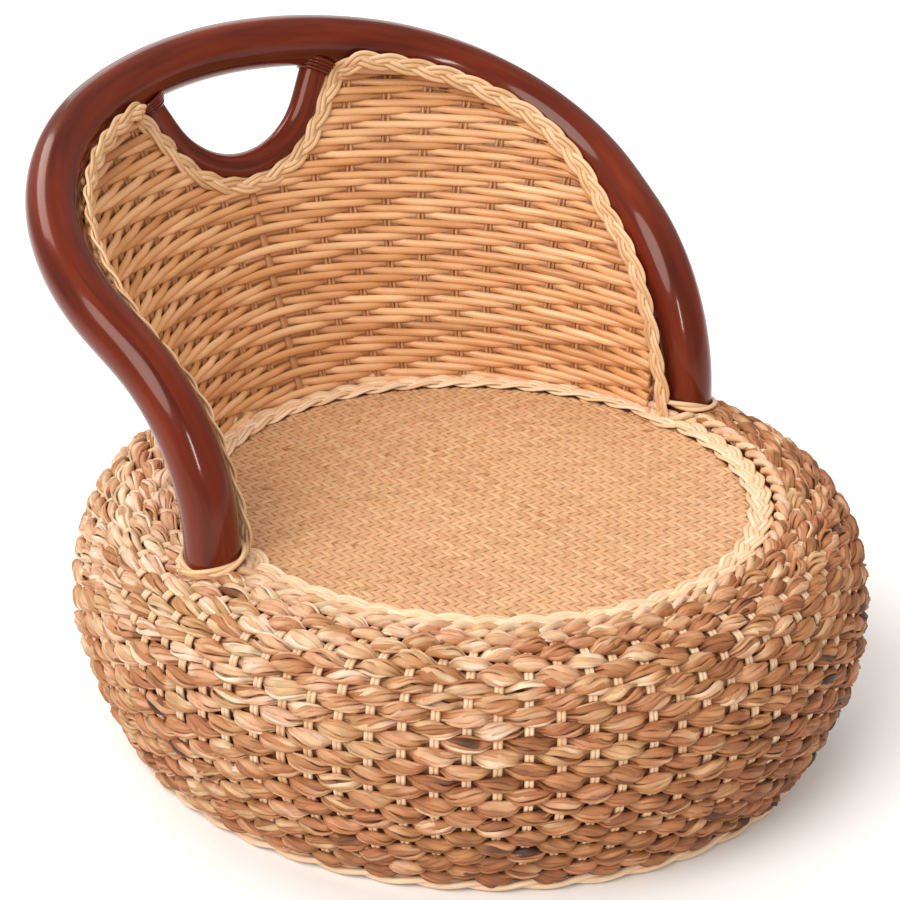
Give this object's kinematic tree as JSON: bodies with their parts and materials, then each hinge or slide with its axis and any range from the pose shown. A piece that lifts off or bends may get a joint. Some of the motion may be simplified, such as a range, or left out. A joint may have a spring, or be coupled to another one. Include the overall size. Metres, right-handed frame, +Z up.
{
  "type": "floor chair",
  "caption": "Low legless chair: a squat oval woven pouf with a flat mat seat, and a concave wicker back held in a bent, lacquered pole with a hand hole.",
  "frame": {"origin": "on the floor, under the middle of the chair's outline", "axes": "+Z up, +Y to the back, so the chair faces -Y; +X to the sitter's left"},
  "size_m": [0.5471, 0.605, 0.4419],
  "materials": {
    "lacquered_pole": "gloss red-brown lacquer on a rattan pole",
    "cane": "natural peeled rattan core, lightly varnished",
    "cane_mat": "flat rattan strips in a herringbone mat",
    "hyacinth": "dried water-hyacinth leaf, matt",
    "rattan_pole": "natural rattan pole",
    "plywood": "bare plywood",
    "steel": "zinc-plated steel",
    "glide_plastic": "dark nylon"
  },
  "bodies": {
    "root": {"arch_braid": "cane", "arch_screws": "steel", "back_arch": "lacquered_pole", "back_post": "cane", "back_stakes": "cane", "back_weave": "cane", "base_foot_ring": "cane", "base_stakes": "cane", "base_weave": "hyacinth", "belly_hoop": "rattan_pole", "board_screws": "steel", "floor_cross_bars": "rattan_pole", "floor_hoop": "rattan_pole", "frame_posts": "rattan_pole", "glide_nails": "steel", "glides": "glide_plastic", "handle_braid": "cane", "handle_loop": "lacquered_pole", "handle_pins": "steel", "leg_collars": "cane", "seat_board": "plywood", "seat_cross_bars": "rattan_pole", "seat_hoop": "rattan_pole", "seat_mat": "cane_mat", "seat_rim_braid": "cane"}
  },
  "joints": []
}
